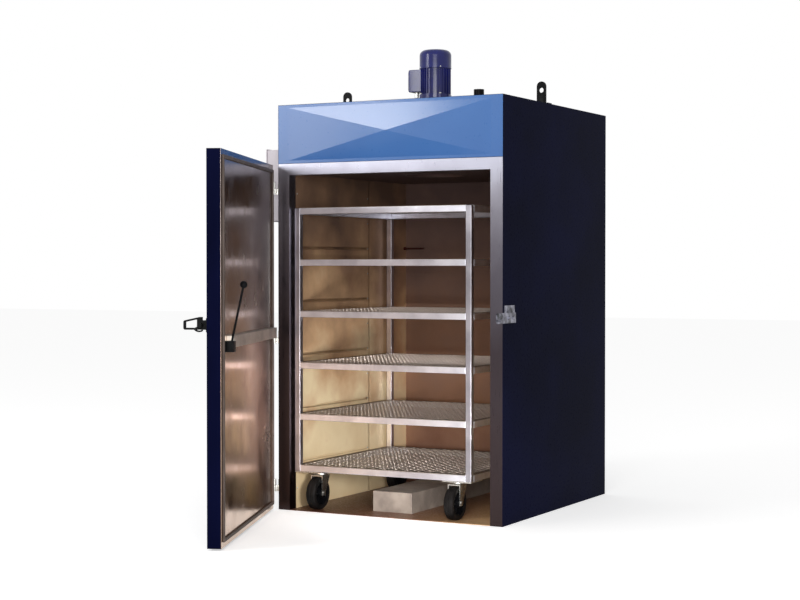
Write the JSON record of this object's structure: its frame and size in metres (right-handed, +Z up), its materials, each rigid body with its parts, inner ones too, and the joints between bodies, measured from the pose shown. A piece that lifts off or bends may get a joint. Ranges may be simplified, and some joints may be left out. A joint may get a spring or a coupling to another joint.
{
  "type": "truck-in drying oven",
  "caption": "Floor-standing hot-air drying oven with a side-hinged insulated door, roof fan and a rolling trolley of perforated shelves.",
  "frame": {"origin": "centre of the cabinet's footprint, on the floor", "axes": "+X to the right seen from the door side, +Y to the back, +Z up"},
  "size_m": [1.4085, 2.5263, 2.2925],
  "materials": {
    "navy_paint": "gloss enamel, dark blue",
    "blue_paint": "gloss enamel, mid blue",
    "stainless": "satin",
    "frame_steel": "brushed",
    "polished_steel": "mirror polished",
    "heat_tinted_steel": "satin, tinted by heat",
    "galvanised": "matt galvanised",
    "bright_tube": "bright, ground",
    "cast_iron_paint": "semi-gloss motor enamel",
    "wool": "matt fibre",
    "black_rubber": "matt",
    "seal_rubber": "matt silicone",
    "black_plastic": "fine texture",
    "grey_paint": "semi-gloss light grey",
    "black_metal": "semi-gloss black",
    "red_plastic": "gloss",
    "green_plastic": "gloss",
    "probe_sheath": "heat darkened",
    "zinc": "zinc plated",
    "shaft_steel": "ground",
    "tyre": "matt"
  },
  "bodies": {
    "cabinet": {"side_panel_left": "navy_paint", "side_panel_right": "navy_paint", "back_panel": "navy_paint", "roof_panel": "navy_paint", "header_panel": "blue_paint", "base_frame": "galvanised", "door_frame": "frame_steel", "insulation_wool": "wool", "outer_liners": "stainless", "duct_wall_left": "heat_tinted_steel", "duct_wall_right": "heat_tinted_steel", "back_liner": "heat_tinted_steel", "false_ceiling": "heat_tinted_steel", "floor_plate": "heat_tinted_steel", "guide_box": "stainless", "heater_elements": "black_metal", "temperature_probe": "probe_sheath", "lifting_lugs": "black_metal", "motor_mount": "cast_iron_paint", "motor_housing": "cast_iron_paint", "fan_cowl": "cast_iron_paint", "terminal_box": "cast_iron_paint", "cable_fittings": "zinc", "motor_cable": "black_rubber", "vent_pipe": "galvanised", "cabinet_hinges": "zinc", "striker": "zinc", "control_box": "grey_paint", "control_lid": "grey_paint", "controller": "black_plastic"},
    "fan_rotor": {"fan_shaft": "shaft_steel", "impeller": "galvanised", "cooling_fan": "black_plastic"},
    "vent_cap": {"vent_cap": "black_metal"},
    "isolator_knob": {"isolator_knob": "red_plastic"},
    "start_button": {"start_button": "green_plastic"},
    "stop_button": {"stop_button": "red_plastic"},
    "door": {"door_outer_skin": "navy_paint", "door_inner_skin": "polished_steel", "door_insulation": "wool", "door_gasket": "seal_rubber", "door_hinges": "zinc", "push_bar": "stainless", "latch_body": "black_metal", "release_box": "black_metal"},
    "latch_lever": {"latch_lever": "black_metal"},
    "release_lever": {"release_lever": "black_metal"},
    "trolley": {"trolley_uprights": "bright_tube", "shelf_frames": "bright_tube", "shelf_decks": "stainless", "caster_plates": "zinc"},
    "caster_front_left": {"caster_fork_front_left": "zinc"},
    "wheel_front_left": {"caster_wheel_front_left": "tyre"},
    "caster_front_right": {"caster_fork_front_right": "zinc"},
    "wheel_front_right": {"caster_wheel_front_right": "tyre"},
    "caster_back_left": {"caster_fork_back_left": "zinc"},
    "wheel_back_left": {"caster_wheel_back_left": "tyre"},
    "caster_back_right": {"caster_fork_back_right": "zinc"},
    "wheel_back_right": {"caster_wheel_back_right": "tyre"}
  },
  "joints": [
    {"name": "door_swing", "type": "hinge", "parent": "cabinet", "child": "door", "pos_m": [-0.63, -0.66, 0.86], "axis": [0, 0, -1], "range_deg": [-68, 102]},
    {"name": "latch_turn", "type": "hinge", "parent": "door", "child": "latch_lever", "pos_m": [-0.26057, -1.8093, 0.956], "axis": [-0.3746, 0.9272, 0], "range_deg": [-90, 0]},
    {"name": "release_tilt", "type": "hinge", "parent": "door", "child": "release_lever", "pos_m": [-0.18105, -1.71246, 0.861], "axis": [0.3746, -0.9272, 0], "range_deg": [0, 12]},
    {"name": "trolley_roll", "type": "slide", "parent": "cabinet", "child": "trolley", "axis": [0, -1, 0], "range_m": [-0.15, 0.185]},
    {"name": "fan_spin", "type": "hinge", "parent": "cabinet", "child": "fan_rotor", "pos_m": [0, -0.135, 2], "axis": [0, 0, 1], "continuous": true},
    {"name": "vent_turn", "type": "hinge", "parent": "cabinet", "child": "vent_cap", "pos_m": [0.202, -0.05, 2.06], "axis": [0, 0, 1], "range_deg": [0, 45]},
    {"name": "isolator_turn", "type": "hinge", "parent": "cabinet", "child": "isolator_knob", "pos_m": [-0.74, -0.463, 1.708], "axis": [-1, 0, 0], "range_deg": [0, 90]},
    {"name": "start_press", "type": "slide", "parent": "cabinet", "child": "start_button", "axis": [1, 0, 0], "range_m": [0, 0.004], "stiffness_N_per_m": 600},
    {"name": "stop_press", "type": "slide", "parent": "cabinet", "child": "stop_button", "axis": [1, 0, 0], "range_m": [0, 0.004], "stiffness_N_per_m": 600},
    {"name": "swivel_front_left", "type": "hinge", "parent": "trolley", "child": "caster_front_left", "pos_m": [-0.428, -0.542, 0.187], "axis": [0, 0, 1], "continuous": true},
    {"name": "roll_front_left", "type": "hinge", "parent": "caster_front_left", "child": "wheel_front_left", "pos_m": [-0.428, -0.575, 0.0833], "axis": [1, 0, 0], "continuous": true},
    {"name": "swivel_front_right", "type": "hinge", "parent": "trolley", "child": "caster_front_right", "pos_m": [0.328, -0.542, 0.187], "axis": [0, 0, 1], "continuous": true},
    {"name": "roll_front_right", "type": "hinge", "parent": "caster_front_right", "child": "wheel_front_right", "pos_m": [0.328, -0.575, 0.0833], "axis": [1, 0, 0], "continuous": true},
    {"name": "swivel_back_left", "type": "hinge", "parent": "trolley", "child": "caster_back_left", "pos_m": [-0.428, 0.282, 0.187], "axis": [0, 0, 1], "continuous": true},
    {"name": "roll_back_left", "type": "hinge", "parent": "caster_back_left", "child": "wheel_back_left", "pos_m": [-0.428, 0.249, 0.0833], "axis": [1, 0, 0], "continuous": true},
    {"name": "swivel_back_right", "type": "hinge", "parent": "trolley", "child": "caster_back_right", "pos_m": [0.328, 0.282, 0.187], "axis": [0, 0, 1], "continuous": true},
    {"name": "roll_back_right", "type": "hinge", "parent": "caster_back_right", "child": "wheel_back_right", "pos_m": [0.328, 0.249, 0.0833], "axis": [1, 0, 0], "continuous": true}
  ]
}
